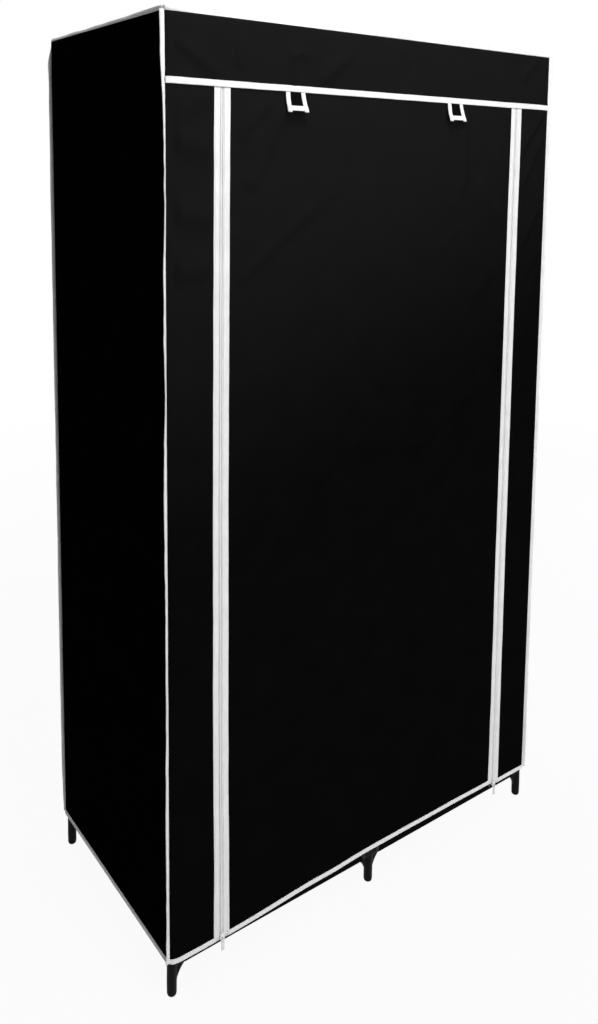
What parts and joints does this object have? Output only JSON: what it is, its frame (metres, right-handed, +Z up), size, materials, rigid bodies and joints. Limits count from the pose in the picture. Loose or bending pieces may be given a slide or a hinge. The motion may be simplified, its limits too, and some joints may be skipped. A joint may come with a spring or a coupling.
{
  "type": "fabric wardrobe",
  "caption": "Tall fabric wardrobe on a steel tube frame, with a zipped door that rolls up under a valance, a hanging rail, shelves and pale bindings.",
  "frame": {"origin": "bottom centre of the whole object's box, at the level of the feet", "axes": "+X to the right as seen from the front, -Y to the front, +Z up"},
  "size_m": [0.88, 0.4624, 1.6],
  "materials": {
    "black_tube": "satin powder coat",
    "black_plastic": "fine moulded grain",
    "black_fabric": "non-woven cloth with a fine pressed grain",
    "white_binding": "folded non-woven tape, stitched",
    "zip_tape": "woven tape with a moulded coil",
    "slider_metal": "white gloss enamel",
    "pull_metal": "white gloss enamel, worn at its edges"
  },
  "bodies": {
    "root": {"foot_connector_front_left": "black_plastic", "foot_connector_front_centre": "black_plastic", "foot_connector_front_right": "black_plastic", "foot_connector_back_left": "black_plastic", "foot_connector_back_centre": "black_plastic", "foot_connector_back_right": "black_plastic", "post_front_left": "black_tube", "post_front_centre": "black_tube", "post_front_right": "black_tube", "post_back_left": "black_tube", "post_back_centre": "black_tube", "post_back_right": "black_tube", "top_connector_front_left": "black_plastic", "top_connector_front_centre": "black_plastic", "top_connector_front_right": "black_plastic", "top_connector_back_left": "black_plastic", "top_connector_back_centre": "black_plastic", "top_connector_back_right": "black_plastic", "bottom_rail_front_left": "black_tube", "bottom_rail_front_right": "black_tube", "bottom_rail_back_left": "black_tube", "bottom_rail_back_right": "black_tube", "bottom_rail_side_left": "black_tube", "bottom_rail_centre": "black_tube", "bottom_rail_side_right": "black_tube", "top_rail_front_left": "black_tube", "top_rail_front_right": "black_tube", "top_rail_back_left": "black_tube", "top_rail_back_right": "black_tube", "top_rail_side_left": "black_tube", "top_rail_centre": "black_tube", "top_rail_side_right": "black_tube", "shelf_rail_lower_front": "black_tube", "shelf_rail_lower_back": "black_tube", "shelf_rail_upper_front": "black_tube", "shelf_rail_upper_back": "black_tube", "hanging_rail": "black_tube", "shelf_lower": "black_fabric", "shelf_upper": "black_fabric", "floor_shelf": "black_fabric", "door_panel": "black_fabric", "front_strip_left": "black_fabric", "front_strip_right": "black_fabric", "valance_panel": "black_fabric", "side_panel_left": "black_fabric", "side_panel_right": "black_fabric", "back_panel": "black_fabric", "top_panel": "black_fabric", "seam_bindings": "white_binding", "zip_tape_fixed_left": "zip_tape", "zip_tape_fixed_right": "zip_tape", "zip_tape_door_left": "zip_tape", "zip_tape_door_right": "zip_tape"},
    "door_bottom": {"door_hem": "white_binding"},
    "slider_left": {"zip_slider_left": "slider_metal"},
    "slider_right": {"zip_slider_right": "slider_metal"},
    "pull_left": {"zip_pull_left": "pull_metal"},
    "pull_right": {"zip_pull_right": "pull_metal"},
    "tie_left": {"tie_tab_left": "black_fabric"},
    "tie_right": {"tie_tab_right": "black_fabric"}
  },
  "joints": [
    {"name": "door_roll_up", "type": "slide", "parent": "root", "child": "door_bottom", "axis": [0, 0, 1], "range_m": [0, 1.33], "deforming": ["door_panel", "zip_tape_door_left", "zip_tape_door_right"]},
    {"name": "zip_travel_left", "type": "slide", "parent": "root", "child": "slider_left", "axis": [0, 0, 1], "range_m": [0, 1.41]},
    {"name": "zip_travel_right", "type": "slide", "parent": "root", "child": "slider_right", "axis": [0, 0, 1], "range_m": [0, 1.41]},
    {"name": "pull_swing_left", "type": "hinge", "parent": "slider_left", "child": "pull_left", "pos_m": [-0.338, -0.22253, 0.066], "axis": [-1, 0, 0], "range_deg": [0, 160]},
    {"name": "pull_swing_right", "type": "hinge", "parent": "slider_right", "child": "pull_right", "pos_m": [0.338, -0.22253, 0.066], "axis": [-1, 0, 0], "range_deg": [0, 160]},
    {"name": "tie_swing_left", "type": "hinge", "parent": "root", "child": "tie_left", "pos_m": [-0.201, -0.22033, 1.4917], "axis": [-1, 0, 0], "range_deg": [0, 150]},
    {"name": "tie_swing_right", "type": "hinge", "parent": "root", "child": "tie_right", "pos_m": [0.165, -0.22033, 1.4917], "axis": [-1, 0, 0], "range_deg": [0, 150]}
  ],
  "couplings": [
    {"joint": "zip_travel_left", "follows": "door_roll_up", "ratio": 1.06},
    {"joint": "zip_travel_right", "follows": "door_roll_up", "ratio": 1.06}
  ]
}
